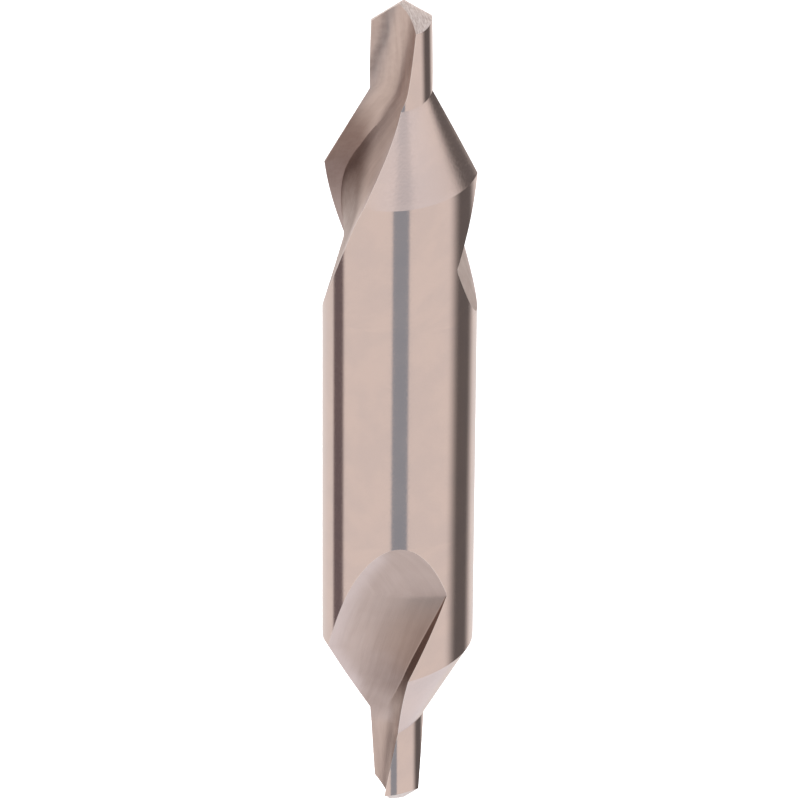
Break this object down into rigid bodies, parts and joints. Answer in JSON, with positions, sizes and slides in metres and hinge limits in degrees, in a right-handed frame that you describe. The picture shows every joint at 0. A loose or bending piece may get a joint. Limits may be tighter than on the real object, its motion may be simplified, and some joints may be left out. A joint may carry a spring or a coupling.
{
  "type": "centre drill",
  "caption": "Double-ended centre drill: a ground round shank with, at each end, a short pilot drill and a 60 degree countersink cut by right-hand helical flutes.",
  "frame": {"origin": "on the tool's axis at mid-length of the shank, where a chuck or collet would grip it", "axes": "+Z along the tool's axis, from mid-length to one point; the other end points along -Z"},
  "size_m": [0.01, 0.01, 0.056],
  "materials": {
    "ground_steel": "ground high-speed steel, bright, with fine grinding marks"
  },
  "bodies": {
    "root": {"centre_drill": "ground_steel"}
  },
  "joints": []
}
